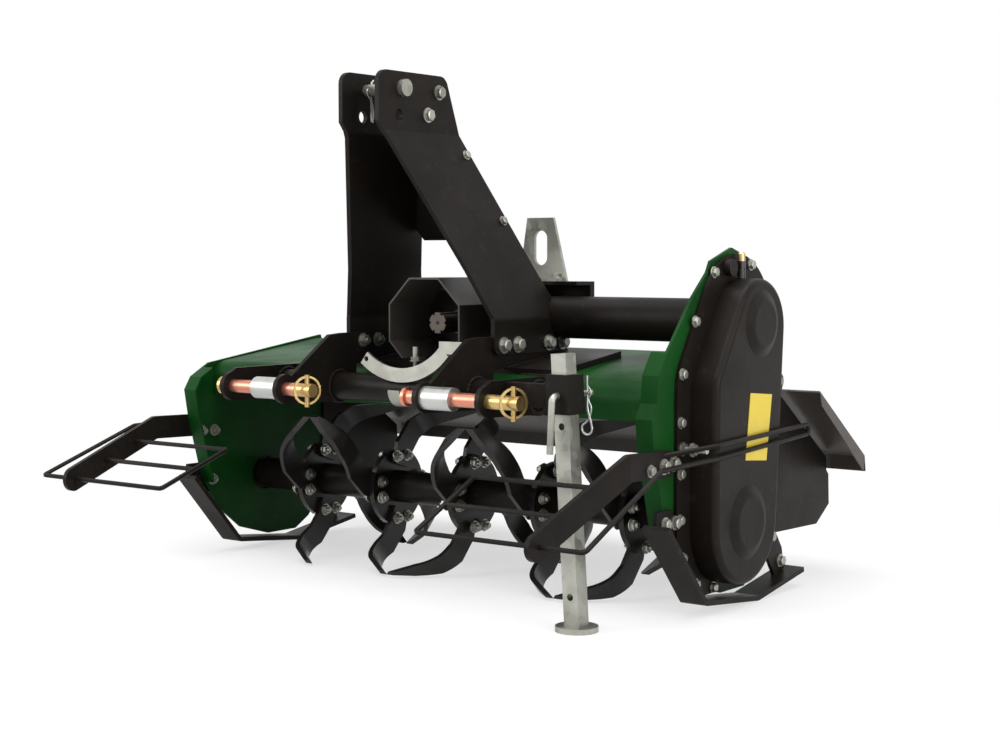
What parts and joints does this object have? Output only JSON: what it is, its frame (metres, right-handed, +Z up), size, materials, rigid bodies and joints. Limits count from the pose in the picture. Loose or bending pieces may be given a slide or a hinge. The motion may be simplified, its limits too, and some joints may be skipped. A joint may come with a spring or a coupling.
{
  "type": "rotary tiller",
  "caption": "Tractor-mounted rotary tiller: green hood and side plates, side chain case, bladed rotor, hitch mast, hinged rear board, wire guards and a parking stand.",
  "frame": {"origin": "middle of the overall box, on the ground", "axes": "+X across the machine towards the chain case, -Y towards the tractor, +Z up"},
  "size_m": [1.1194, 0.8903, 0.84],
  "materials": {
    "green_paint": "gloss",
    "black_paint": "gloss",
    "tine_black": "satin",
    "board_paint": "satin",
    "shroud_paint": "gloss",
    "zinc": "galvanised",
    "gold_zinc": "satin",
    "silver_sleeve": "satin",
    "bare_steel": "machined",
    "brass": "polished"
  },
  "bodies": {
    "frame": {"base_plate": "black_paint", "bearing_housing": "black_paint", "case_breather": "brass", "case_cap": "black_paint", "chain_case": "black_paint", "chain_cover": "black_paint", "cradle_clamp": "zinc", "cross_tube": "black_paint", "drive_tube": "black_paint", "gearbox": "black_paint", "gearbox_bracket": "black_paint", "hinge_rod": "zinc", "hitch_plate_inner_left": "black_paint", "hitch_plate_inner_right": "black_paint", "hitch_plate_outer_left": "black_paint", "hitch_plate_outer_right": "black_paint", "hood": "green_paint", "link_pin_left": "gold_zinc", "link_pin_right": "gold_zinc", "link_sleeve_left": "silver_sleeve", "link_sleeve_right": "silver_sleeve", "lynch_pin_left": "gold_zinc", "lynch_pin_right": "gold_zinc", "mast_brace": "black_paint", "mast_plate_left": "black_paint", "mast_plate_right": "black_paint", "pto_shroud": "shroud_paint", "shaft_cradle": "zinc", "side_guard_left": "black_paint", "side_guard_right": "black_paint", "side_plate_left": "green_paint", "side_plate_right": "green_paint", "side_wing_left": "black_paint", "side_wing_right": "black_paint", "skid_left": "black_paint", "skid_right": "black_paint", "slotted_lug": "zinc", "stand_carrier": "black_paint", "stand_leg": "zinc", "stand_pin": "zinc", "top_link_pin": "zinc"},
    "rotor": {"rotor_shaft": "black_paint", "tine_set_1": "tine_black", "tine_set_2": "tine_black", "tine_set_3": "tine_black", "tine_set_4": "tine_black", "tine_set_5": "tine_black"},
    "pto": {"pto_shaft": "bare_steel"},
    "tailboard_body": {"tailboard": "board_paint"}
  },
  "joints": [
    {"name": "rotor_spin", "type": "hinge", "parent": "frame", "child": "rotor", "pos_m": [0, 0.045, 0.137], "axis": [1, 0, 0], "continuous": true},
    {"name": "pto_spin", "type": "hinge", "parent": "frame", "child": "pto", "pos_m": [0.008, 0, 0.436], "axis": [0, 1, 0], "continuous": true},
    {"name": "tailboard_lift", "type": "hinge", "parent": "frame", "child": "tailboard_body", "pos_m": [0, 0.245, 0.342], "axis": [1, 0, 0], "range_deg": [0, 60]}
  ],
  "couplings": [
    {"joint": "pto_spin", "follows": "rotor_spin", "ratio": -2.63}
  ]
}
